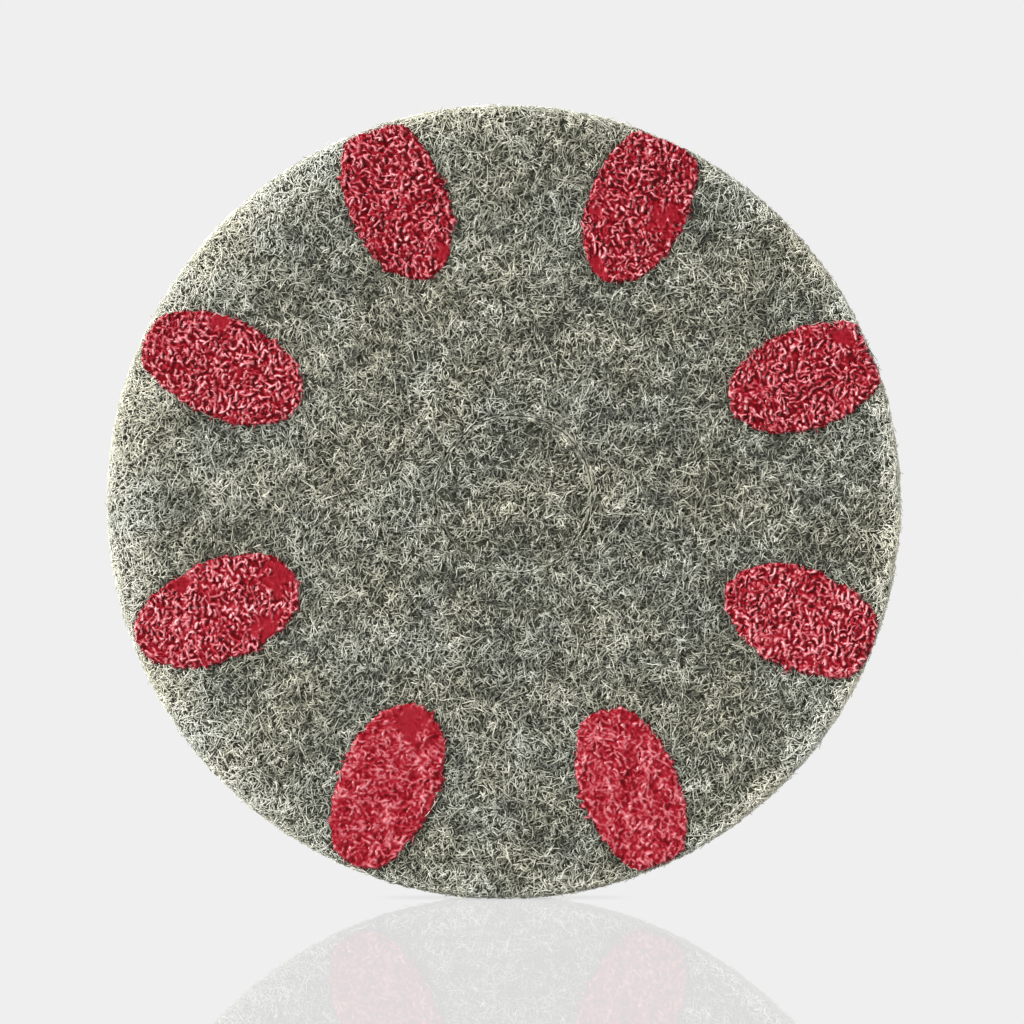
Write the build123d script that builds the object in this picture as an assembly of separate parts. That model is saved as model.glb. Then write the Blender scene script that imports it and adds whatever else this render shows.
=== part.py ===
from build123d import *
import os

# A round nonwoven polishing pad that stands on its rim. Its axis is Y: the working face with the resin
# spots faces -Y, and the drive face, which a machine's driver plate grips, faces +Y. The origin is the
# centre of the disc. The spots and the centre plug share one centre, the pattern's, and the outer die
# cut misses it by a few millimetres, so the outermost tips of the spots are trimmed by the rim.

# Driving dimensions, in millimetres and degrees.
PAD_DIAMETER = 432.0
PAD_THICKNESS = 25.0

PATTERN_CENTRE_X = 5.5
PATTERN_CENTRE_Z = 4.3

PLUG_DIAMETER = 85.0
KERF = 0.4

SPOT_COUNT = 8
FIRST_SPOT_ANGLE = 21.6
SPOT_WIDEST_RADIUS = 169.4
SPOT_HALF_WIDTH = 27.1
SPOT_INNER_LENGTH = 43.0
SPOT_OUTER_LENGTH = 53.8
SPOT_SOAK_DEPTH = 4.0
SPOT_PROUD = 1.5
SPOT_EDGE_RADIUS = 0.8

# Solids are built lying down and then stood up: up to here, x is X, y is Z and the working face is on top.
UPRIGHT = Plane.XZ
WORKING_FACE = PAD_THICKNESS / 2
PATTERN = Location((PATTERN_CENTRE_X, PATTERN_CENTRE_Z, 0))


def rim_disc(thickness):
    """A disc as large as the pad, standing for the outer die cut."""
    return Cylinder(PAD_DIAMETER / 2, thickness)


def spot_outline():
    """An egg of two half ellipses, its blunt end towards the pattern's centre."""
    widest = (SPOT_WIDEST_RADIUS, 0)
    outer_half = EllipticalCenterArc(widest, SPOT_OUTER_LENGTH, SPOT_HALF_WIDTH, -90, arc_size=180)
    inner_half = EllipticalCenterArc(widest, SPOT_INNER_LENGTH, SPOT_HALF_WIDTH, 90, arc_size=180)
    return make_face(outer_half + inner_half)


def spot_block(index, bottom, top):
    """A block with one spot's outline, between two heights, trimmed by the rim."""
    block = Pos(0, 0, bottom) * extrude(spot_outline(), top - bottom)
    angle = FIRST_SPOT_ANGLE + index * 360 / SPOT_COUNT
    return (PATTERN * Rot(0, 0, angle) * block) & rim_disc(2 * PAD_THICKNESS)


def fibre_pad():
    """The web: a disc with a hole for the plug and a shallow pocket where each spot has soaked in."""
    hole = PATTERN * Cylinder(PLUG_DIAMETER / 2 + KERF, 2 * PAD_THICKNESS)
    pad = rim_disc(PAD_THICKNESS) - hole
    for index in range(SPOT_COUNT):
        pad -= spot_block(index, WORKING_FACE - SPOT_SOAK_DEPTH, PAD_THICKNESS)
    return pad


def centre_plug():
    """The knock-out plug, cut from the same web and left in its hole."""
    return PATTERN * Cylinder(PLUG_DIAMETER / 2, PAD_THICKNESS)


def resin_spot(index):
    """One spot of bonded resin: it fills its pocket and stands proud with a rounded edge."""
    spot = spot_block(index, WORKING_FACE - SPOT_SOAK_DEPTH, WORKING_FACE + SPOT_PROUD)
    top_edges = spot.faces().sort_by(Axis.Z)[-1].edges()
    return fillet(top_edges, SPOT_EDGE_RADIUS)


def write_node(name, shape):
    """Stands a solid up and writes it as one node."""
    export_step(UPRIGHT * shape, f"parts/{name}.step")


os.makedirs("parts", exist_ok=True)
write_node("fibre_pad", fibre_pad())
write_node("centre_plug", centre_plug())
for spot_number in range(SPOT_COUNT):
    write_node(f"resin_spot_{spot_number + 1}", resin_spot(spot_number))
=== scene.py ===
import itertools
import math

import bpy
import numpy as np
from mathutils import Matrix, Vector

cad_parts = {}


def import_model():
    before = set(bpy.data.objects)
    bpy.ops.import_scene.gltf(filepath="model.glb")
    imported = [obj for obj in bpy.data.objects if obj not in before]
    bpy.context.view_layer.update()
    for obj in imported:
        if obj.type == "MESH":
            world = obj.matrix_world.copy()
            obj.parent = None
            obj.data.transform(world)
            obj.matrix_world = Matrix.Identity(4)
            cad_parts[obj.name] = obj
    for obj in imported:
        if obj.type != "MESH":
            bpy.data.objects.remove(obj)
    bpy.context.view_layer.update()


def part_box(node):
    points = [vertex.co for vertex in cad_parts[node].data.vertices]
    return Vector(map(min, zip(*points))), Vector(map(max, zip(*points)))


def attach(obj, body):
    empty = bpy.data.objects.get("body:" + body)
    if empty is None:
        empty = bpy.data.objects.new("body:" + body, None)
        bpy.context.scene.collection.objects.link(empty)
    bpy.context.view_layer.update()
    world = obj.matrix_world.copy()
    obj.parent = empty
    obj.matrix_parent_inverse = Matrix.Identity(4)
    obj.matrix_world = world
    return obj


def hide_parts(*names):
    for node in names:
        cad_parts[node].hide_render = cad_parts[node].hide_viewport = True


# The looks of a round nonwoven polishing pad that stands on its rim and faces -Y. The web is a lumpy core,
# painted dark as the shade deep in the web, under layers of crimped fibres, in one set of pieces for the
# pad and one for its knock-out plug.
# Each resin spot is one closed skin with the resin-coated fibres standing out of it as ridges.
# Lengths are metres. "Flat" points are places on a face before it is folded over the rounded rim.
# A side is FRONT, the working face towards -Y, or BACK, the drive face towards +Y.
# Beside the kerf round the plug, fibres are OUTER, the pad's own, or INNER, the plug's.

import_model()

MM = 0.001
FRONT = -1
BACK = 1
OUTER = 1
INNER = -1

# ---------------------------------------------------------------- sizes, taken from the frame

pad_low, pad_high = (np.array(corner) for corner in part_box("fibre_pad"))
plug_low, plug_high = (np.array(corner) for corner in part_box("centre_plug"))
PAD_RADIUS = (pad_high[0] - pad_low[0]) / 2
THICKNESS = plug_high[1] - plug_low[1]
PLUG_RADIUS = (plug_high[0] - plug_low[0]) / 2
PLUG_CENTRE = np.array([plug_low[0] + plug_high[0], plug_low[2] + plug_high[2]]) / 2
KERF = 0.4 * MM
PLUG_PLACE = np.array([PLUG_CENTRE[0], 0, PLUG_CENTRE[1]])
HOLE_RADIUS = PLUG_RADIUS + KERF
KERF_MIDDLE = PLUG_RADIUS + KERF / 2
FLOOR_Z = pad_low[2]

SPOT_COUNT = 8
FIRST_SPOT_ANGLE = math.radians(21.6)
SPOT_WIDEST_RADIUS = 169.4 * MM
SPOT_HALF_WIDTH = 27.1 * MM
SPOT_INNER_LENGTH = 43.0 * MM
SPOT_OUTER_LENGTH = 53.8 * MM

# The radii of the rounded edges, and how far the cores lie under the fibres' tops.
PAD_EDGE = 5.0 * MM
PLUG_EDGE = 0.35 * MM
CORE_DEPTH = 1.5 * MM

# ---------------------------------------------------------------- numbers and meshes


def value_noise(points, size, seed):
    """Smooth random numbers from -1 to 1 at points of shape (..., axes), in lumps about size across."""
    scaled = np.asarray(points, float) / size
    low = np.floor(scaled).astype(np.int64)
    part = scaled - low
    part = part * part * (3 - 2 * part)
    total = np.zeros(scaled.shape[:-1])
    for corner in itertools.product((0, 1), repeat=scaled.shape[-1]):
        weight = np.ones(total.shape)
        key = np.full(total.shape, seed * 2654435761 + 97, np.uint64)
        for axis, step in enumerate(corner):
            weight = weight * (part[..., axis] if step else 1 - part[..., axis])
            key ^= (low[..., axis] + step + 100000).astype(np.uint64)
            key = (key * np.uint64(6364136223846793005) + np.uint64(1442695040888963407)) >> np.uint64(7)
        total += weight * ((key % np.uint64(20011)).astype(float) / 10005 - 1)
    return total


def smooth_step(value):
    """0 below 0, 1 above 1, and a smooth rise between."""
    value = np.clip(value, 0, 1)
    return value * value * (3 - 2 * value)


def mesh_piece(name, points, faces, material, tones=None, uv=None):
    """A smooth mesh object from points (n, 3) and faces, a list of (m, 3) or (m, 4) index arrays.

    tones has a number for each point, which materials read as "tone". uv has a place for each face corner.
    """
    mesh = bpy.data.meshes.new(name)
    corners = np.concatenate([block.ravel() for block in faces])
    sizes = np.concatenate([np.full(len(block), block.shape[1]) for block in faces])
    mesh.vertices.add(len(points))
    mesh.loops.add(len(corners))
    mesh.polygons.add(len(sizes))
    mesh.vertices.foreach_set("co", np.ascontiguousarray(points, np.float32).ravel())
    mesh.loops.foreach_set("vertex_index", corners.astype(np.int32))
    starts = np.concatenate([[0], np.cumsum(sizes)[:-1]])
    mesh.polygons.foreach_set("loop_start", starts.astype(np.int32))
    mesh.polygons.foreach_set("use_smooth", np.full(len(sizes), True))
    mesh.update(calc_edges=True)
    if tones is not None:
        layer = mesh.attributes.new("tone", "FLOAT", "POINT")
        layer.data.foreach_set("value", np.ascontiguousarray(tones, np.float32).ravel())
    if uv is not None:
        layer = mesh.uv_layers.new(name="OFBake")
        layer.data.foreach_set("uv", np.ascontiguousarray(uv, np.float32).ravel())
    mesh.materials.append(material)
    piece = bpy.data.objects.new(name, mesh)
    bpy.context.scene.collection.objects.link(piece)
    return piece


# ---------------------------------------------------------------- materials


def new_material(name):
    """A material with a Principled shader, and a helper that adds linked nodes to it."""
    material = bpy.data.materials.new(name)
    material.use_nodes = True
    tree = material.node_tree
    shader = tree.nodes["Principled BSDF"]

    def add(kind, inputs=(), **settings):
        node = tree.nodes.new(kind)
        for key, value in settings.items():
            setattr(node, key, value)
        for key, value in dict(inputs).items():
            if isinstance(value, bpy.types.NodeSocket):
                tree.links.new(value, node.inputs[key])
            else:
                node.inputs[key].default_value = value
        return node

    return material, shader, add


def ramp(add, factor, stops):
    """A colour ramp with (place, (r, g, b)) stops."""
    node = add("ShaderNodeValToRGB", {"Fac": factor})
    elements = node.color_ramp.elements
    for element, (place, colour) in zip(elements, (stops[0], stops[-1])):
        element.position, element.color = place, (*colour, 1)
    for place, colour in stops[1:-1]:
        elements.new(place).color = (*colour, 1)
    return node.outputs["Color"]


def noise(add, place, scale, detail=2.0, roughness=0.5):
    """A noise texture's value over object coordinates."""
    inputs = {"Vector": place, "Scale": scale, "Detail": detail, "Roughness": roughness}
    return add("ShaderNodeTexNoise", inputs).outputs["Fac"]


def arithmetic(add, operation, first, second=0.0, third=0.0):
    """One Math node's value."""
    return add("ShaderNodeMath", {0: first, 1: second, 2: third}, operation=operation).outputs[0]


def centred(add, base, amount, texture):
    """A value raised and lowered by a texture, whose own middle is 0.5."""
    return arithmetic(add, "MULTIPLY_ADD", texture, amount, arithmetic(add, "SUBTRACT", base, amount / 2))


def fibre_material():
    """Cream to grey-green synthetic fibre: each fibre has its own tone, which also carries painted shade
    and painted light, with slow patches and streaks.
    """
    material, shader, add = new_material("web_fibre")
    link = material.node_tree.links.new
    place = add("ShaderNodeTexCoord").outputs["Object"]
    tone = add("ShaderNodeAttribute", attribute_name="tone").outputs["Fac"]
    streaks = noise(add, place, 680.0, 3.0, 0.6)
    patches = noise(add, place, 45.0, 4.0, 0.6)
    shifted = centred(add, centred(add, tone, 0.90, streaks), 0.66, patches)
    colour = ramp(add, shifted, [
        (0.0, (0.050, 0.054, 0.037)),
        (0.35, (0.27, 0.275, 0.210)),
        (0.65, (0.56, 0.56, 0.455)),
        (1.0, (0.88, 0.87, 0.76)),
    ])
    tint = ramp(add, noise(add, place, 28.0, 1.0), [
        (0.35, (0.97, 1.0, 1.03)),
        (0.5, (1.0, 1.0, 1.0)),
        (0.65, (1.02, 1.005, 0.965)),
    ])
    both = {"Factor": 1.0, "A": colour, "B": tint}
    tinted = add("ShaderNodeMix", both, data_type="RGBA", blend_type="MULTIPLY")
    link(tinted.outputs["Result"], shader.inputs["Base Color"])
    link(arithmetic(add, "MULTIPLY_ADD", streaks, 0.25, 0.42), shader.inputs["Roughness"])
    shader.inputs["Specular IOR Level"].default_value = 0.35
    shader.inputs["Sheen Weight"].default_value = 0.15
    shader.inputs["Sheen Roughness"].default_value = 0.5
    return material


def core_material():
    """A dark sheet painted as the shade deep in the web, between its fibres."""
    material, shader, add = new_material("web_core")
    link = material.node_tree.links.new
    place = add("ShaderNodeTexCoord").outputs["Object"]
    stretched = add("ShaderNodeMapping", {"Vector": place, "Scale": (1.0, 1.0, 2.3)}).outputs[0]
    strands = noise(add, stretched, 700.0, 4.0, 0.65)
    colour = ramp(add, strands, [
        (0.35, (0.018, 0.020, 0.013)),
        (0.52, (0.080, 0.083, 0.060)),
        (0.70, (0.24, 0.24, 0.18)),
    ])
    link(colour, shader.inputs["Base Color"])
    link(arithmetic(add, "MULTIPLY_ADD", strands, 0.2, 0.75), shader.inputs["Roughness"])
    bump = add("ShaderNodeBump", {"Height": strands, "Strength": 0.9, "Distance": 0.6 * MM})
    link(bump.outputs["Normal"], shader.inputs["Normal"])
    shader.inputs["Specular IOR Level"].default_value = 0.1
    return material


def resin_material():
    """Deep red resin film over fibres: tone 0 is a valley, 1 the top of a coated fibre. Dark valleys are
    partly painted shade and pale pink tops partly a painted highlight.
    """
    material, shader, add = new_material("red_resin")
    link = material.node_tree.links.new
    place = add("ShaderNodeTexCoord").outputs["Object"]
    tone = add("ShaderNodeAttribute", attribute_name="tone").outputs["Fac"]
    grain = noise(add, place, 1100.0, 3.0, 0.6)
    patches = noise(add, place, 90.0, 3.0)
    shifted = centred(add, centred(add, tone, 0.20, grain), 0.24, patches)
    # The darkest stops are partly painted shade for the valleys and the palest partly a painted highlight
    # on the ridge tops, over the resin's own deep red and pink.
    colour = ramp(add, shifted, [
        (0.0, (0.085, 0.0004, 0.002)),
        (0.22, (0.19, 0.001, 0.006)),
        (0.42, (0.34, 0.014, 0.026)),
        (0.60, (0.48, 0.110, 0.130)),
        (0.80, (0.73, 0.240, 0.265)),
        (1.0, (0.94, 0.49, 0.51)),
    ])
    link(colour, shader.inputs["Base Color"])
    link(arithmetic(add, "MULTIPLY_ADD", grain, 0.20, 0.16), shader.inputs["Roughness"])
    bump = add("ShaderNodeBump", {"Height": grain, "Strength": 0.35, "Distance": 0.25 * MM})
    link(bump.outputs["Normal"], shader.inputs["Normal"])
    shader.inputs["Specular IOR Level"].default_value = 0.18
    shader.inputs["Coat Weight"].default_value = 0.05
    shader.inputs["Coat Roughness"].default_value = 0.15
    return material


FIBRE = fibre_material()
CORE = core_material()
RESIN = resin_material()

# ---------------------------------------------------------------- the disc's surface


def folded(flat, lift, radius, edge, side):
    """Lays flat points on a disc's face and folds them over its rounded rim, lifted off the surface.

    Returns offsets from the disc's centre.
    """
    reach = np.maximum(np.hypot(flat[..., 0], flat[..., 1]), 1e-9)
    straight = radius - edge
    turn = np.clip((reach - straight) / edge, 0, math.pi / 2)
    down_wall = np.maximum(reach - straight - edge * math.pi / 2, 0)
    out = np.minimum(reach, straight) + edge * np.sin(turn) + lift * np.sin(turn)
    up = THICKNESS / 2 - edge * (1 - np.cos(turn)) - down_wall + lift * np.cos(turn)
    direction = flat / reach[..., None]
    return np.stack([direction[..., 0] * out, side * up, direction[..., 1] * out], -1)


def on_pad(flat, lift, side):
    """Flat points on the pad."""
    return folded(flat, lift, PAD_RADIUS, PAD_EDGE, side)


def on_plug(flat, lift, side):
    """Flat points on the plug."""
    return folded(flat - PLUG_CENTRE, lift, PLUG_RADIUS, PLUG_EDGE, side) + PLUG_PLACE


# How far flat points reach from the centre when they are folded to halfway across the rim.
PAD_REACH = PAD_RADIUS - PAD_EDGE + PAD_EDGE * math.pi / 2 + (THICKNESS / 2 - PAD_EDGE)
PLUG_REACH = PLUG_RADIUS - PLUG_EDGE + PLUG_EDGE * math.pi / 2 + (THICKNESS / 2 - PLUG_EDGE)


def spot_angle(index):
    """The direction of a spot from the plug's centre."""
    return FIRST_SPOT_ANGLE + index * 2 * math.pi / SPOT_COUNT


def spot_axes(index):
    """The unit vectors of a spot, outwards and across, on a flat face."""
    angle = spot_angle(index)
    outwards = np.array([math.cos(angle), math.sin(angle)])
    return outwards, np.array([-outwards[1], outwards[0]])


def share_of_spot(flat, index):
    """How far flat points are across a spot: 0 at its middle, where it is widest, and 1 on its outline."""
    outwards, across = spot_axes(index)
    offset = flat - PLUG_CENTRE - outwards * SPOT_WIDEST_RADIUS
    along = offset @ outwards
    length = np.where(along > 0, SPOT_OUTER_LENGTH, SPOT_INNER_LENGTH)
    return np.hypot(along / length, (offset @ across) / SPOT_HALF_WIDTH)


# ---------------------------------------------------------------- fibres

FIBRE_POINTS = 4
FIBRE_SIDES = 3
FIBRES_PER_PIECE = 7500
STRAND_SHARE = 0.10
# The direction, on a flat face, of the stretch of rim that is painted palest: painted light from the side
# of the key light.
LIT_SIDE = np.array([-0.97, 0.24])
# Directions from the plug's centre of the two arcs of the kerf that stand open.
OPEN_ARC = math.radians(58)
HALF_OPEN_ARC = math.radians(-135)
DARKEST, LIGHTEST = 0.02, 0.98


def fibre_lines(rng, middles, length, bend, heading=None):
    """Flat centrelines of crimped fibres, (count, FIBRE_POINTS, 2), about their middles."""
    count = len(middles)
    along = np.linspace(-0.5, 0.5, FIBRE_POINTS)
    if heading is None:
        heading = rng.uniform(0, 2 * math.pi, count)
    curl = rng.normal(0, bend, count)
    crimp = rng.uniform(0.0, 0.3, count)
    phase = rng.uniform(0, 2 * math.pi, count)
    angle = heading[:, None] + curl[:, None] * along + crimp[:, None] * np.sin(7 * along + phase[:, None])
    step = np.stack([np.cos(angle), np.sin(angle)], -1) * (length / (FIBRE_POINTS - 1))[:, None, None]
    line = np.cumsum(step, 1)
    return middles[:, None] + line - line.mean(1, keepdims=True)


def shortened(lines, allowed):
    """Shrinks each line about its middle until allowed(points) holds for all of it."""
    middles = lines.mean(1, keepdims=True)
    for _ in range(9):
        bad = ~allowed(lines).all(1)
        lines[bad] = middles[bad] + 0.72 * (lines[bad] - middles[bad])
    return lines


def from_plug(flat):
    """How far flat points are from the plug's centre."""
    return np.hypot(flat[..., 0] - PLUG_CENTRE[0], flat[..., 1] - PLUG_CENTRE[1])


def kerf_edge(flat, which):
    """How far from the plug's centre the OUTER or INNER fibres end at the kerf.

    They all but meet in the kerf's middle, except over the two open arcs, where they stop short of it.
    """
    offset = flat - PLUG_CENTRE
    angle = np.arctan2(offset[..., 1], offset[..., 0])
    wide = smooth_step(1.5 - np.abs(angle - OPEN_ARC) / 0.5)
    narrow = 0.5 * smooth_step(1.5 - np.abs(angle - HALF_OPEN_ARC) / 0.35)
    return KERF_MIDDLE + which * (0.02 + 0.30 * np.maximum(wide, narrow)) * MM


def tubes(lines, radius):
    """Closed thin tubes round 3-D lines (count, FIBRE_POINTS, 3), as points and faces of one fibre."""
    count = len(lines)
    tangent = np.gradient(lines, axis=1)
    tangent /= np.maximum(np.linalg.norm(tangent, axis=2, keepdims=True), 1e-12)
    guide = np.cross(tangent, np.array([0.31, 0.93, 0.2]))
    guide /= np.maximum(np.linalg.norm(guide, axis=2, keepdims=True), 1e-12)
    other = np.cross(tangent, guide)
    taper = 1 - 0.45 * np.abs(np.linspace(-1, 1, FIBRE_POINTS)) ** 3
    turn = np.arange(FIBRE_SIDES) * 2 * math.pi / FIBRE_SIDES
    ring = guide[:, :, None] * np.cos(turn)[:, None] + other[:, :, None] * np.sin(turn)[:, None]
    points = lines[:, :, None] + ring * (radius[:, None] * taper)[:, :, None, None]
    first = np.arange(count)[:, None] * FIBRE_POINTS * FIBRE_SIDES
    quads = []
    for step, side in itertools.product(range(FIBRE_POINTS - 1), range(FIBRE_SIDES)):
        low = step * FIBRE_SIDES
        after = (side + 1) % FIBRE_SIDES
        quads.append([low + side, low + after, low + FIBRE_SIDES + after, low + FIBRE_SIDES + side])
    last = (FIBRE_POINTS - 1) * FIBRE_SIDES
    caps = [list(range(FIBRE_SIDES))[::-1], [last + side for side in range(FIBRE_SIDES)]]
    walls = (first[:, :, None] + np.array(quads)[None]).reshape(-1, 4)
    ends = (first[:, :, None] + np.array(caps)[None]).reshape(-1, 3)
    return points.reshape(-1, 3), [walls, ends]


def fibre_uv(count):
    """A map with a cell of its own for each fibre, so that a picture can hold every fibre's colour."""
    across = math.ceil(math.sqrt(count))
    cells = np.stack([np.arange(count) % across, np.arange(count) // across], -1) / across
    walls = []
    for step, side in itertools.product(range(FIBRE_POINTS - 1), range(FIBRE_SIDES)):
        left, right = 0.2 + 0.7 * np.array([step, step + 1]) / (FIBRE_POINTS - 1)
        low, high = 0.1 + 0.8 * np.array([side, side + 1]) / FIBRE_SIDES
        walls.append([[left, low], [left, high], [right, high], [right, low]])
    ends = [[[0.04, 0.1], [0.14, 0.1], [0.14, 0.4]], [[0.04, 0.6], [0.14, 0.6], [0.14, 0.9]]]
    walls = cells[:, None, None] + np.array(walls)[None] / across
    ends = cells[:, None, None] + np.array(ends)[None] / across
    return np.concatenate([walls.reshape(-1, 2), ends.reshape(-1, 2)])


def add_fibres(name, body, lines, radius, tone, material=FIBRE):
    """Fibres as pieces of a few thousand each, riding on a body."""
    for number, start in enumerate(range(0, len(lines), FIBRES_PER_PIECE)):
        part = slice(start, start + FIBRES_PER_PIECE)
        points, faces = tubes(lines[part], radius[part])
        tones = np.repeat(tone[part], FIBRE_POINTS * FIBRE_SIDES)
        uv = fibre_uv(len(lines[part]))
        piece = mesh_piece(f"{name}_{number + 1}", points, faces, material, tones=tones, uv=uv)
        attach(piece, body)


def scattered(rng, count, radius, centre):
    """Flat points spread evenly over a disc."""
    reach = np.sqrt(rng.uniform(0, radius**2, count))
    angle = rng.uniform(0, 2 * math.pi, count)
    return centre + np.stack([np.cos(angle), np.sin(angle)], -1) * reach[:, None]


def fibre_kinds(rng, count):
    """Which fibres are long loose strands, and each fibre's length, curl and radius."""
    strand = rng.random(count) < STRAND_SHARE
    length = rng.gamma(5, np.where(strand, 1.35, 0.64)) * MM
    curl = np.where(strand, 0.6, 0.7)
    radius = rng.uniform(0.17, np.where(strand, 0.27, 0.33)) * MM
    return strand, length, curl, radius


def layered(rng, strand):
    """Each fibre's height over the surface, and the lift of its points, whose ends dive below that."""
    height = rng.uniform(np.where(strand, 0.0, -1.0), np.where(strand, 0.7, 0.45)) * MM
    dive = rng.uniform(0.1, 1.1, len(strand)) * MM
    along = np.linspace(-1, 1, FIBRE_POINTS) + rng.uniform(-0.5, 0.5, len(strand))[:, None]
    return height, height[:, None] - dive[:, None] * along**2


def web_tones(rng, middles, height, side):
    """Tones from dark to light: darker lower in the web as painted shade, in small clumps, lighter by the
    rim and towards the key light's side as painted light, and darker round a spot, partly as painted
    shade.
    """
    reach = np.hypot(middles[:, 0], middles[:, 1])
    # Fibres towards the key light's side get lighter tones: painted light.
    toward_light = middles @ LIT_SIDE / PAD_RADIUS
    # The rim, most of all on the key light's side, gets lighter tones: painted rim light.
    rim_light_band = smooth_step((reach - 0.84 * PAD_RADIUS) / (0.12 * PAD_RADIUS))
    rim = smooth_step((reach - 0.93 * PAD_RADIUS) / (0.07 * PAD_RADIUS))
    # Fibres lying lower in the web get darker tones: painted shade from the fibres over them.
    top = (height + 0.9 * MM) / (1.5 * MM)
    tone = 0.19 + 0.44 * top + 0.06 * toward_light
    tone += 0.24 * value_noise(middles, 1.7 * MM, 63)
    tone += 0.24 * value_noise(middles, 3.2 * MM, 61)
    tone += 0.14 * value_noise(middles, 8 * MM, 62)
    tone += 0.38 * rim_light_band * np.clip(toward_light, 0, 1) + 0.04 * rim_light_band
    tone += rim * (0.15 + 0.66 * toward_light**2)
    # The web round each spot gets darker tones, partly painted shade round the raised resin and partly
    # resin soaked into it.
    if side == FRONT:
        for index in range(SPOT_COUNT):
            tone -= 0.15 * smooth_step((1.16 - share_of_spot(middles, index)) / 0.16)
    return np.clip(tone + rng.normal(0, 0.07, len(middles)), DARKEST, LIGHTEST)


def plain_tones(rng, count, middle, spread):
    """Tones that depend on nothing but chance."""
    return np.clip(rng.normal(middle, spread, count), DARKEST, LIGHTEST)


def tufts(flat, seed):
    """How far the fibres stand up or lie low together, in metres."""
    return (0.35 * value_noise(flat, 4 * MM, seed) + 0.30 * value_noise(flat, 13 * MM, seed + 1)) * MM


def web_face(name, rng, count, side):
    """The layers of fibres on one side of the pad, out to halfway across its rim."""
    middles = scattered(rng, count, PAD_REACH, 0)
    keep = from_plug(middles) > HOLE_RADIUS + 0.5 * MM
    if side == FRONT:
        for index in range(SPOT_COUNT):
            keep &= share_of_spot(middles, index) > 0.95
    middles = middles[keep]
    strand, length, curl, radius = fibre_kinds(rng, len(middles))
    lines = fibre_lines(rng, middles, length, curl)
    lines = shortened(lines, lambda flat: from_plug(flat) > kerf_edge(flat, OUTER))
    height, lift = layered(rng, strand)
    lift = lift + tufts(middles, 41 + side)[:, None]
    tone = web_tones(rng, middles, height, side)
    add_fibres(name, "pad", on_pad(lines, lift, side), radius, tone)


def plug_face(name, rng, count, side):
    """The same fibres on one side of the plug, folded down to halfway along its wall."""
    middles = scattered(rng, count, PLUG_REACH, PLUG_CENTRE)
    strand, length, curl, radius = fibre_kinds(rng, count)
    lines = fibre_lines(rng, middles, length, curl)
    on_face = from_plug(middles) < PLUG_RADIUS - 0.5 * MM
    lines[on_face] = shortened(lines[on_face], lambda flat: from_plug(flat) < kerf_edge(flat, INNER))
    past_edge = smooth_step((from_plug(lines) - PLUG_RADIUS + 0.4 * MM) / (0.6 * MM))
    height, lift = layered(rng, strand)
    lift = lift + tufts(middles, 41 + side)[:, None]
    on_wall = rng.uniform(-0.9, -0.6, count)[:, None] * radius[:, None]
    lift = lift + (on_wall - lift) * past_edge
    tone = web_tones(rng, middles, height, side)
    add_fibres(name, "plug", on_plug(lines, lift, side), radius, tone)


def kerf_lip(name, body, rng, count, side, which):
    """OUTER or INNER fibres that the die pressed down along the kerf, many of them by its open arc."""
    by_open_arc = rng.random(count) < 0.45
    near_arc = rng.normal(0.95, 0.45, count)
    anywhere = rng.uniform(0, 2 * math.pi, count)
    angle = np.where(by_open_arc, near_arc, anywhere)
    direction = np.stack([np.cos(angle), np.sin(angle)], -1)
    away = (0.3 + rng.gamma(1.5, 0.5, count)) * MM
    middles = PLUG_CENTRE + direction * (PLUG_RADIUS + which * away)[:, None]
    heading = angle + math.pi / 2 + rng.normal(0, 0.3, count)
    lines = fibre_lines(rng, middles, rng.gamma(5, 0.8, count) * MM, 0.6, heading)
    lines = shortened(lines, lambda flat: which * from_plug(flat) > which * kerf_edge(flat, which))
    height = rng.uniform(-0.7, 0.4, count) * MM
    lift = height[:, None] + 0.7 * tufts(middles, 41 + side)[:, None]
    tone = web_tones(rng, middles, height, side)
    place = on_pad(lines, lift, side) if which == OUTER else on_plug(lines, lift, side)
    add_fibres(name, body, place, rng.uniform(0.2, 0.34, count) * MM, tone)


def hole_wall(rng, count):
    """Cut fibres in the wall of the pad's hole, seen when the plug is out."""
    angle = rng.uniform(0, 2 * math.pi, count)
    height = rng.uniform(-0.47, 0.47, count) * THICKNESS
    middles = np.stack([angle * HOLE_RADIUS, height], -1)
    lines = fibre_lines(rng, middles, rng.uniform(4, 10, count) * MM, 1.3)
    lines = shortened(lines, lambda place: np.abs(place[..., 1]) < THICKNESS / 2 - 0.5 * MM)
    radius = rng.uniform(0.26, 0.42, count) * MM
    outwards = HOLE_RADIUS + radius[:, None] + rng.uniform(-0.02, 0.5, count)[:, None] * MM
    turn = lines[..., 0] / HOLE_RADIUS
    place = np.stack([outwards * np.cos(turn), lines[..., 1], outwards * np.sin(turn)], -1)
    tone = plain_tones(rng, count, 0.42, 0.17)
    add_fibres("pad_hole_fibres", "pad", place + PLUG_PLACE, radius, tone)


def kerf_strands(rng, count):
    """The few fibres that the die left uncut, lying along the kerf, so that no light comes through it."""
    angle = rng.uniform(0, 2 * math.pi, count)
    height = rng.uniform(-0.36, 0.36, count) * THICKNESS
    middles = np.stack([angle * KERF_MIDDLE, height], -1)
    length = rng.uniform(7, 12, count) * MM
    heading = rng.normal(0, 0.12, count)
    lines = fibre_lines(rng, middles, length, 0.5, heading)
    turn = lines[..., 0] / KERF_MIDDLE
    place = np.stack([KERF_MIDDLE * np.cos(turn), lines[..., 1], KERF_MIDDLE * np.sin(turn)], -1)
    tone = plain_tones(rng, count, 0.3, 0.1)
    radius = rng.uniform(0.17, 0.2, count) * MM
    add_fibres("kerf_strands", "pad", place + PLUG_PLACE, radius, tone)


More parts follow.
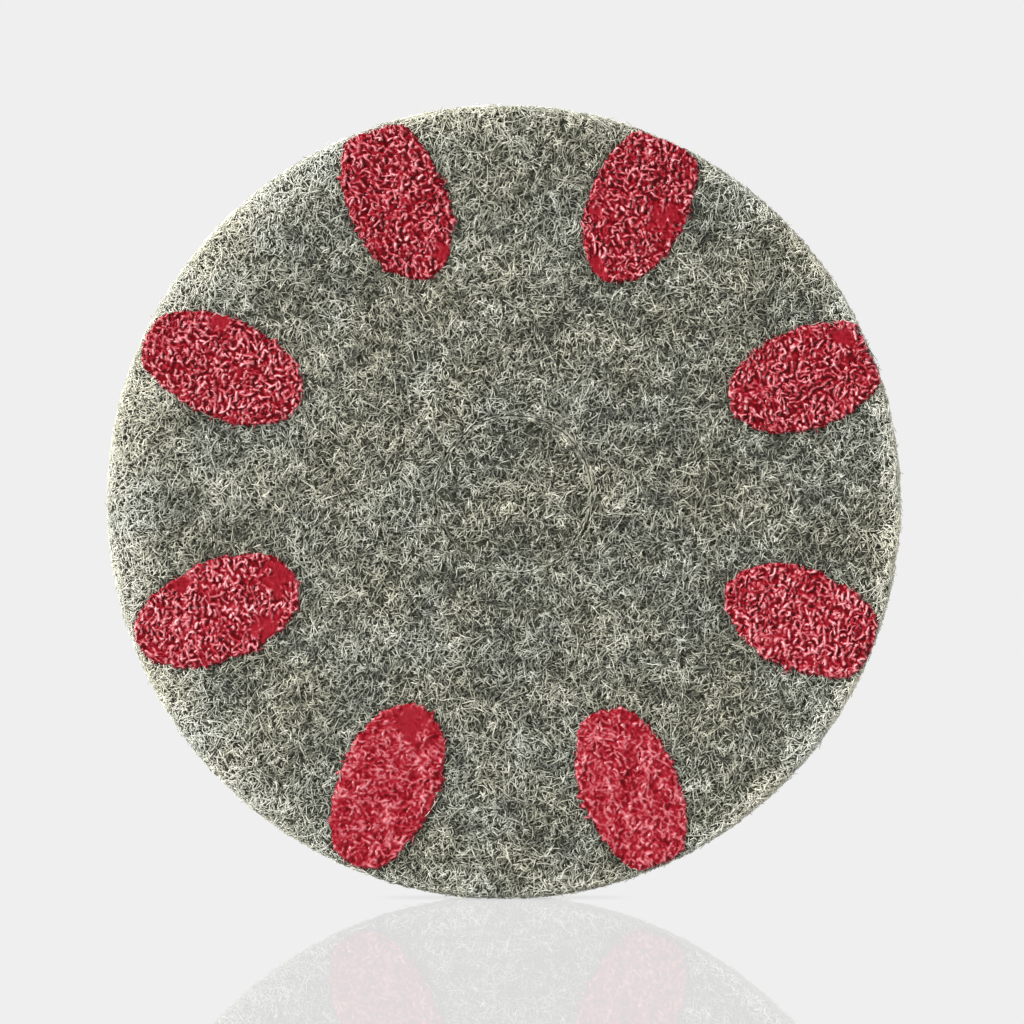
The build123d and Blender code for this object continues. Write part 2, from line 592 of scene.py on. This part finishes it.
def rim_fuzz(rng, count):
    """Loose ends that the die has frayed, standing a little off the rim."""
    angle = rng.uniform(0, 2 * math.pi, count)
    reach = PAD_REACH - rng.uniform(0, THICKNESS / 2 + 1.0 * MM, count)
    middles = np.stack([np.cos(angle), np.sin(angle)], -1) * reach[:, None]
    lines = fibre_lines(rng, middles, rng.uniform(4, 9, count) * MM, 1.8)
    along = np.linspace(0, 1, FIBRE_POINTS)
    root = rng.uniform(-0.6, 0.3, count)[:, None] * MM
    lift = root + rng.gamma(2.0, 0.32, count)[:, None] * MM * along**1.5
    radius = rng.uniform(0.16, 0.3, count) * MM
    in_front = rng.random(count) < 0.5
    place = np.where(in_front[:, None, None], on_pad(lines, lift, FRONT), on_pad(lines, lift, BACK))
    # The frayed ends get pale tones, painted light that matches the painted rim light on the face.
    tone = np.clip(rng.normal(0.75, 0.15, count), 0.2, LIGHTEST)
    add_fibres("rim_fuzz", "pad", place, radius, tone)


# ---------------------------------------------------------------- the web's core

CORE_TURNS = 420


def closed_core(name, body, loops):
    """A closed skin from a list of loops of CORE_TURNS points, the last of which meets the first."""
    rows = len(loops)
    row, column = np.meshgrid(np.arange(rows), np.arange(CORE_TURNS), indexing="ij")
    after = (column + 1) % CORE_TURNS
    below = (row + 1) % rows
    quads = np.stack([row * CORE_TURNS + column, row * CORE_TURNS + after,
                      below * CORE_TURNS + after, below * CORE_TURNS + column], -1).reshape(-1, 4)
    piece = mesh_piece(name, np.concatenate(loops), [quads], CORE)
    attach(piece, body)
    return piece


def lumpy(points, seed):
    """Lumps and hollows, in metres, of matted fibre."""
    return (0.35 * value_noise(points, 4.5 * MM, seed) + 0.3 * value_noise(points, 9 * MM, seed + 1)) * MM


def pad_core():
    """The inside of the pad, painted dark as the shade deep in the web: a ring with the hole's wall, two
    lumpy faces and a smoother rim.
    """
    angle = np.arange(CORE_TURNS) * 2 * math.pi / CORE_TURNS
    direction = np.stack([np.cos(angle), np.sin(angle)], -1)
    hole = PLUG_CENTRE + direction * (HOLE_RADIUS + 0.12 * MM)
    edge = direction * PAD_REACH
    shares = np.linspace(0, 1, 95)
    loops = []
    for side, order in ((FRONT, shares), (BACK, shares[::-1])):
        for share in order:
            flat = hole + (edge - hole) * share
            depth = CORE_DEPTH + lumpy(flat, 11 + side) * min(1, 12 * share) * min(1, 12 * (1 - share))
            loops.append(on_pad(flat, -depth, side))
    return closed_core("pad_core", "pad", loops)


def plug_core():
    """The inside of the plug, painted dark as the shade deep in the web: two lumpy faces and its wall,
    with a pinhole through the middle.
    """
    angle = np.arange(CORE_TURNS) * 2 * math.pi / CORE_TURNS
    direction = np.stack([np.cos(angle), np.sin(angle)], -1)
    shares = np.linspace(0.002, 1, 36)
    loops = []
    for side, order in ((FRONT, shares), (BACK, shares[::-1])):
        for share in order:
            flat = PLUG_CENTRE + direction * PLUG_REACH * share
            on_face = smooth_step((PLUG_RADIUS - PLUG_REACH * share) / (4 * MM))
            depth = 0.12 * MM + (CORE_DEPTH - 0.12 * MM + lumpy(flat, 31 + side)) * on_face
            loops.append(on_plug(flat, -depth, side))
    return closed_core("plug_core", "plug", loops)


# ---------------------------------------------------------------- resin spots

SPOT_STEP = 0.39 * MM
RASTER_STEP = 0.3 * MM
RASTER_MARGIN_CELLS = 10
# CAVITY_CELLS: how wide the blur is, whose difference paints the hollows between coated fibres darker as
# painted shade.
CAVITY_CELLS = 7
SPOT_SEED = 500

RIDGES_PER_SPOT = 1400
RIDGE_RELIEF = 1.8 * MM
RIDGE_REACH = 2.2 * MM
UPRIGHT = math.pi / 2
CROSSING_SHARE = 0.25
STRAYS_PER_SPOT = 50

# The film's height over the web, how far and over what width its edge sinks in, and its skin's depth.
FILM_HEIGHT = 0.60 * MM
FILM_EDGE = 0.35 * MM
SHOULDER = 1.6 * MM
SPOT_ROOT = 2.5 * MM

# By spot, counted from 0. Places are millimetres outwards and across from a spot's widest point.
# NIBS: where the resin ran out along the fibres, as (degrees from outwards, millimetres).
# POOLS: where it lies smooth, as (outwards, across, radius).
# CALM: what share of its relief is missing. PALE: how much lighter its tone is, painted light for how the
# key light falls on each spot.
# GRAIN: the direction of most of its coated fibres, in radians from +X, where that isn't upright.
NIBS = {
    2: [(45, 2.5), (145, 3.0)],
    6: [(-97, 3.2), (-45, 1.8)],
    7: [(-81, 3.4)],
}
POOLS = {
    0: [(28, 14, 5)],
    1: [(-1, -16, 9), (-40, 7, 6), (-10, 20, 4)],
    2: [(-34, -14, 6)],
    3: [(14, -22, 5)],
    4: [(-34, -5, 10), (-17, 18, 7), (18, -22, 5)],
    5: [(-34, -3, 10)],
}
CALM = {5: 0.50, 6: 0.45}
PALE = {1: -0.03, 2: -0.02, 3: 0.02, 4: 0.04, 5: 0.08, 6: 0.08, 7: 0.04}
GRAIN = {5: 0.15}


def outline_reach(index, angle, rng):
    """How far a spot's ragged outline is from its middle, by angle from the outward direction."""
    length = np.where(np.cos(angle) > 0, SPOT_OUTER_LENGTH, SPOT_INNER_LENGTH)
    egg = 1 / np.hypot(np.cos(angle) / length, np.sin(angle) / SPOT_HALF_WIDTH)
    outwards, across = spot_axes(index)
    middle = PLUG_CENTRE + outwards * SPOT_WIDEST_RADIUS
    direction = np.cos(angle)[..., None] * outwards + np.sin(angle)[..., None] * across
    rim = PAD_RADIUS + 0.3 * MM
    half = direction @ middle
    to_rim = -half + np.sqrt(half**2 - middle @ middle + rim**2)
    sharpness = 14.0
    reach = (egg**-sharpness + to_rim**-sharpness) ** (-1 / sharpness)
    circle = np.stack([np.cos(angle), np.sin(angle)], -1)
    ragged = 0.9 * value_noise(circle, 0.30, 71 + index) + 0.8 * value_noise(circle, 0.13, 91 + index)
    ragged = ragged + 0.5 * value_noise(circle, 0.05, 111 + index)
    spikes = zip(rng.uniform(-180, 180, 34), rng.gamma(2.0, 0.3, 34))
    for place, length in [*spikes, *NIBS.get(index, [])]:
        turn = (angle - math.radians(place) + math.pi) % (2 * math.pi) - math.pi
        width = (0.5 + 0.35 * length) * MM
        ragged = ragged + length * np.exp(-((turn * reach / width) ** 2))
    return reach + ragged * MM


def on_spot(local, index):
    """Flat points from places in a spot's own axes."""
    outwards, across = spot_axes(index)
    middle = PLUG_CENTRE + outwards * SPOT_WIDEST_RADIUS
    return middle + local[..., :1] * outwards + local[..., 1:] * across


def raster_places(low, start, stop):
    """The places of a raster's cells, from one corner cell up to another."""
    cells = [np.arange(first, last) for first, last in zip(start, stop)]
    return low + np.stack(np.meshgrid(*cells, indexing="ij"), -1) * RASTER_STEP


def from_line(places, line):
    """How far places are from a line of points."""
    nearest = np.full(places.shape[:2], np.inf)
    for a, b in zip(line[:-1], line[1:]):
        share = np.clip(((places - a) @ (b - a)) / max((b - a) @ (b - a), 1e-12), 0, 1)
        away = np.linalg.norm(places - a - share[..., None] * (b - a), axis=-1)
        nearest = np.minimum(nearest, away)
    return nearest


def ridge_raster(index, rng):
    """A raster of the coated fibres' heights in a spot's film, from 0 to 1, and its low corner."""
    low = np.array([-SPOT_INNER_LENGTH, -SPOT_HALF_WIDTH]) - RASTER_MARGIN_CELLS * RASTER_STEP
    extent = np.array([SPOT_INNER_LENGTH + SPOT_OUTER_LENGTH, 2 * SPOT_HALF_WIDTH])
    shape = tuple((extent / RASTER_STEP + 2 * RASTER_MARGIN_CELLS).astype(int))
    size = np.array(shape) * RASTER_STEP
    middles = low + rng.uniform(0, 1, (RIDGES_PER_SPOT, 2)) * size
    scatter = rng.normal(0, 0.6, RIDGES_PER_SPOT)
    crossing = rng.choice([0, math.pi / 2], RIDGES_PER_SPOT, p=[1 - CROSSING_SHARE, CROSSING_SHARE])
    heading = GRAIN.get(index, UPRIGHT) - spot_angle(index) + scatter + crossing
    length = rng.gamma(5, 0.68, RIDGES_PER_SPOT) * MM
    lines = fibre_lines(rng, middles, length, 1.1, heading)
    width = rng.uniform(0.50, 1.05, RIDGES_PER_SPOT) * MM
    height = rng.uniform(0.35, 1.0, RIDGES_PER_SPOT)
    field = np.zeros(shape)
    for line, spread, top in zip(lines, width, height):
        start = np.maximum(((line.min(0) - RIDGE_REACH - low) / RASTER_STEP).astype(int), 0)
        stop = np.minimum(((line.max(0) + RIDGE_REACH - low) / RASTER_STEP).astype(int) + 1, shape)
        if (stop <= start).any():
            continue
        away = from_line(raster_places(low, start, stop), line)
        window = field[start[0]:stop[0], start[1]:stop[1]]
        np.maximum(window, top * np.exp(-((away / spread) ** 2) * 1.2), out=window)
    places = raster_places(low, (0, 0), shape)
    fine = 0.24 * value_noise(places, 1.5 * MM, 211 + index)
    broad = 0.22 * value_noise(places, 4 * MM, 231 + index)
    return field * (0.72 + fine + broad), low


def softened(field, cells):
    """A raster averaged over the cells round each cell."""
    for axis in (0, 1):
        shifted = (np.roll(field, shift, axis) for shift in range(-cells, cells + 1))
        field = sum(shifted) / (2 * cells + 1)
    return field


def sampled(field, low, points):
    """A raster's values at points, between its cells."""
    at = np.clip((points - low) / RASTER_STEP, 0, np.array(field.shape) - 1.001)
    cell = at.astype(int)
    part = at - cell
    x, y = cell[..., 0], cell[..., 1]
    across = field[x, y] * (1 - part[..., 0]) + field[x + 1, y] * part[..., 0]
    above = field[x, y + 1] * (1 - part[..., 0]) + field[x + 1, y + 1] * part[..., 0]
    return across * (1 - part[..., 1]) + above * part[..., 1]


def pooled(local, index):
    """How smoothly the resin lies at places on a spot: 0 over coated fibres, 1 in a pool."""
    ragged = 0.5 * value_noise(local, 5 * MM, 131 + index) + 0.35 * value_noise(local, 2 * MM, 141)
    share = np.zeros(local.shape[:-1])
    for outwards, across, radius in POOLS.get(index, []):
        away = np.hypot(local[..., 0] - outwards * MM, local[..., 1] - across * MM) / (radius * MM)
        share = np.maximum(share, smooth_step((1.35 + ragged - away) / 0.8))
    return share


def spot_grid(index, rng):
    """A grid squeezed into a spot's ragged egg, as places in its own axes, and how far inside they lie."""
    rows = int((SPOT_INNER_LENGTH + SPOT_OUTER_LENGTH) / SPOT_STEP)
    columns = int(2 * SPOT_HALF_WIDTH / SPOT_STEP)
    u, v = np.meshgrid(np.linspace(-1, 1, rows), np.linspace(-1, 1, columns), indexing="ij")
    disc = np.stack([u * np.sqrt(1 - v * v / 2), v * np.sqrt(1 - u * u / 2)], -1)
    share = np.hypot(disc[..., 0], disc[..., 1])
    stretch = np.where(disc[..., 0] > 0, SPOT_OUTER_LENGTH, SPOT_INNER_LENGTH)
    angle = np.arctan2(disc[..., 1] * SPOT_HALF_WIDTH, disc[..., 0] * stretch)
    reach = outline_reach(index, angle, rng)
    local = np.stack([np.cos(angle), np.sin(angle)], -1) * (reach * share)[..., None]
    return local, reach * (1 - share)


def resin_film(index, rng, local, inside):
    """The film's height over the web and its tone, from dark in the hollows, partly painted shade, to
    light on the ridges, partly a painted highlight.
    """
    field, low = ridge_raster(index, rng)
    pool = pooled(local, index)
    relief = 1 - CALM.get(index, 0)
    ridges = relief * (1 - 0.8 * pool) * sampled(field, low, local)
    above = relief * (1 - 0.85 * pool) * sampled(field - softened(field, CAVITY_CELLS), low, local)
    swell = 0.25 * value_noise(local, 9 * MM, 151 + index)
    pits = 0.2 * value_noise(local, 2.4 * MM, 171 + index) + 0.16 * value_noise(local, 1.1 * MM, 191)
    pits = pits * (1 - 0.7 * pool)
    film = FILM_HEIGHT + (swell + pits) * MM + RIDGE_RELIEF * ridges
    shoulder = smooth_step(inside / SHOULDER)
    height = film * shoulder - FILM_EDGE * (1 - shoulder)

    fine = 0.10 * value_noise(local, 3.2 * MM, 251 + index)
    broad = 0.10 * value_noise(local, 6 * MM, 271 + index)
    # Hollows and pits get darker tones, partly painted shade and partly thicker resin, and ridge tops
    # lighter ones, partly a painted highlight and partly thin resin over pale fibre.
    tone = 0.35 - 0.01 * pool + 1.50 * above + 0.5 * pits
    return height, tone + (PALE.get(index, 0) + fine + broad) * (1 - pool)


def resin_spot(index):
    """One spot: its film, with a skirt that runs down into the web and a fan that closes it there."""
    rng = np.random.default_rng(SPOT_SEED + index)
    local, inside = spot_grid(index, rng)
    height, tone = resin_film(index, rng, local, inside)
    flat = on_spot(local, index)
    top = on_pad(flat, height, FRONT).reshape(-1, 3)

    cell = np.arange(len(top)).reshape(height.shape)
    quads = np.stack([cell[:-1, :-1], cell[1:, :-1], cell[1:, 1:], cell[:-1, 1:]], -1).reshape(-1, 4)
    border = np.concatenate([cell[0, :-1], cell[:-1, -1], cell[-1, :0:-1], cell[:0:-1, 0]])
    root = on_pad(flat.reshape(-1, 2)[border], np.full(len(border), -SPOT_ROOT), FRONT)
    ring = len(top) + np.arange(len(border))
    skirt = np.stack([border, np.roll(border, -1), np.roll(ring, -1), ring], -1)
    hub = np.full(len(ring), len(top) + len(border))
    fan = np.stack([ring, np.roll(ring, -1), hub], -1)
    points = np.concatenate([top, root, root.mean(0, keepdims=True)])
    tones = np.concatenate([tone.ravel(), np.full(len(border) + 1, 0.1)])
    piece = mesh_piece(f"spot_{index + 1}", points, [quads, skirt, fan], RESIN, tones=tones)
    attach(piece, "pad")
    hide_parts(f"resin_spot_{index + 1}")


def coated_strays(rng, count):
    """Single web fibres that the resin has coated, lying across the spots' outlines."""
    angle = rng.uniform(-math.pi, math.pi, (SPOT_COUNT, count))
    lines = []
    for index in range(SPOT_COUNT):
        reach = outline_reach(index, angle[index], np.random.default_rng(SPOT_SEED + index))
        local = np.stack([np.cos(angle[index]), np.sin(angle[index])], -1)
        local *= (reach + rng.normal(-0.5, 0.5, count) * MM)[:, None]
        lines.append(fibre_lines(rng, on_spot(local, index), rng.gamma(5, 0.6, count) * MM, 1.2))
    lines = np.concatenate(lines)
    height = rng.uniform(0.1, 0.9, len(lines)) * MM
    lift = height[:, None] - 0.5 * MM * np.linspace(-1, 1, FIBRE_POINTS) ** 2
    tone = np.clip(rng.normal(0.42, 0.16, len(lines)), 0.05, 0.95)
    radius = rng.uniform(0.24, 0.42, len(lines)) * MM
    add_fibres("coated_strays", "pad", on_pad(lines, lift, FRONT), radius, tone, RESIN)


# ---------------------------------------------------------------- making the object

core = pad_core()
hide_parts("fibre_pad")
inner_core = plug_core()
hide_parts("centre_plug")

web_face("pad_front_fibres", np.random.default_rng(1), 130000, FRONT)
web_face("pad_back_fibres", np.random.default_rng(2), 76000, BACK)
plug_face("plug_front_fibres", np.random.default_rng(3), 6100, FRONT)
plug_face("plug_back_fibres", np.random.default_rng(4), 3700, BACK)
kerf_lip("pad_front_lip", "pad", np.random.default_rng(8), 420, FRONT, OUTER)
kerf_lip("pad_back_lip", "pad", np.random.default_rng(9), 360, BACK, OUTER)
kerf_lip("plug_front_lip", "plug", np.random.default_rng(10), 420, FRONT, INNER)
kerf_lip("plug_back_lip", "plug", np.random.default_rng(11), 360, BACK, INNER)
hole_wall(np.random.default_rng(5), 1100)
kerf_strands(np.random.default_rng(7), 420)
rim_fuzz(np.random.default_rng(6), 5200)

for spot_index in range(SPOT_COUNT):
    resin_spot(spot_index)
coated_strays(np.random.default_rng(12), STRAYS_PER_SPOT)

# ---------------------------------------------------------------- floor, light and camera

# How bright the world looks, how strongly it lights the object, and how brightly it shines on it.
BACKGROUND = 0.863
AMBIENT = 0.50
SHINE = 0.04
# The floor's weak mirror image, and the strength of its painted contact shadow close under the pad.
REFLECTION = 0.19
PAINTED_CONTACT_SHADOW = 0.15
CONTACT_REACH = 12 * MM
# How much of the picture's width the pad fills, and how far right and up the camera stands, in widths.
PAD_SHARE = 0.7754
CAMERA_RIGHT, CAMERA_UP = 0.0078, -0.0098


def floor():
    """A pale floor as bright as the background, which hides their seam, with a weak reflection and a
    painted contact shadow under the pad.
    """
    size = 60.0
    points = np.array([[-size, -size, 0], [size, -size, 0], [size, size, 0], [-size, size, 0]])
    material, _, add = new_material("floor")
    link = material.node_tree.links.new
    # A painted contact shadow: the floor's glow is darkened where the pad is near.
    shade = add("ShaderNodeAmbientOcclusion", {"Distance": CONTACT_REACH}, samples=8)
    contact = arithmetic(add, "MULTIPLY_ADD", shade.outputs["AO"], PAINTED_CONTACT_SHADOW, 1 - PAINTED_CONTACT_SHADOW)
    rays = add("ShaderNodeLightPath")
    seen = arithmetic(add, "MAXIMUM", rays.outputs["Is Camera Ray"], rays.outputs["Is Singular Ray"])
    bright = arithmetic(add, "MULTIPLY_ADD", seen, BACKGROUND - AMBIENT, AMBIENT)
    strength = arithmetic(add, "MULTIPLY", bright, contact)
    glow = add("ShaderNodeEmission", {"Color": (1, 1, 1, 1), "Strength": strength})
    gloss = add("ShaderNodeBsdfGlossy", {"Color": (1, 1, 1, 1), "Roughness": 0.0})
    blend = add("ShaderNodeMixShader", {0: REFLECTION, 1: glow.outputs[0], 2: gloss.outputs[0]})
    link(blend.outputs[0], material.node_tree.nodes["Material Output"].inputs["Surface"])
    piece = mesh_piece("floor", points + [0, 0, FLOOR_Z - 0.2 * MM], [np.array([[0, 1, 2, 3]])], material)
    return piece


def world():
    """An even pale background, which lights the object less than it shows."""
    made = bpy.data.worlds.new("studio")
    bpy.context.scene.world = made
    made.use_nodes = True
    nodes, link = made.node_tree.nodes, made.node_tree.links.new
    rays = nodes.new("ShaderNodeLightPath")
    shown = nodes.new("ShaderNodeMath")
    shown.operation = "MAXIMUM"
    link(rays.outputs["Is Camera Ray"], shown.inputs[0])
    link(rays.outputs["Is Singular Ray"], shown.inputs[1])
    hidden = nodes.new("ShaderNodeMapRange")
    link(rays.outputs["Is Glossy Ray"], hidden.inputs["Value"])
    hidden.inputs["To Min"].default_value = AMBIENT
    hidden.inputs["To Max"].default_value = SHINE
    strength = nodes.new("ShaderNodeMapRange")
    link(shown.outputs[0], strength.inputs["Value"])
    link(hidden.outputs["Result"], strength.inputs["To Min"])
    strength.inputs["To Max"].default_value = BACKGROUND
    nodes["Background"].inputs["Color"].default_value = (1, 1, 1, 1)
    link(strength.outputs["Result"], nodes["Background"].inputs["Strength"])


def sun(name, towards, strength, spread, unlit):
    """A distant soft light that shines from a direction on all but the pieces in a collection."""
    data = bpy.data.lights.new(name, "SUN")
    data.energy, data.angle = strength, math.radians(spread)
    lamp = bpy.data.objects.new(name, data)
    bpy.context.scene.collection.objects.link(lamp)
    lamp.rotation_euler = Vector(towards).to_track_quat("Z", "Y").to_euler()
    lamp.light_linking.receiver_collection = unlit


def camera():
    """A level camera that looks along +Y and sees the pad a little left of and above the middle."""
    data = bpy.data.cameras.new("camera")
    distance, sensor = 2.4, 36.0
    view_width = 2 * PAD_RADIUS / PAD_SHARE
    data.sensor_width = sensor
    data.lens = distance * sensor / view_width
    data.clip_start, data.clip_end = 0.05, 200
    made = bpy.data.objects.new("camera", data)
    bpy.context.scene.collection.objects.link(made)
    made.location = (CAMERA_RIGHT * view_width, -THICKNESS / 2 - distance, CAMERA_UP * view_width)
    made.rotation_euler = (math.pi / 2, 0, 0)
    bpy.context.scene.camera = made


unlit = bpy.data.collections.new("unlit")
unlit.objects.link(floor())
unlit.collection_objects[0].light_linking.link_state = "EXCLUDE"
world()
sun("key", (-0.80, -0.46, 0.36), 5.2, 12, unlit)
sun("fill", (0.92, -0.34, 0.10), 2.0, 30, unlit)
sun("back", (-0.45, 0.75, 0.48), 2.4, 20, unlit)
camera()
bpy.context.scene.view_settings.view_transform = "Standard"
bpy.context.scene.view_settings.look = "None"
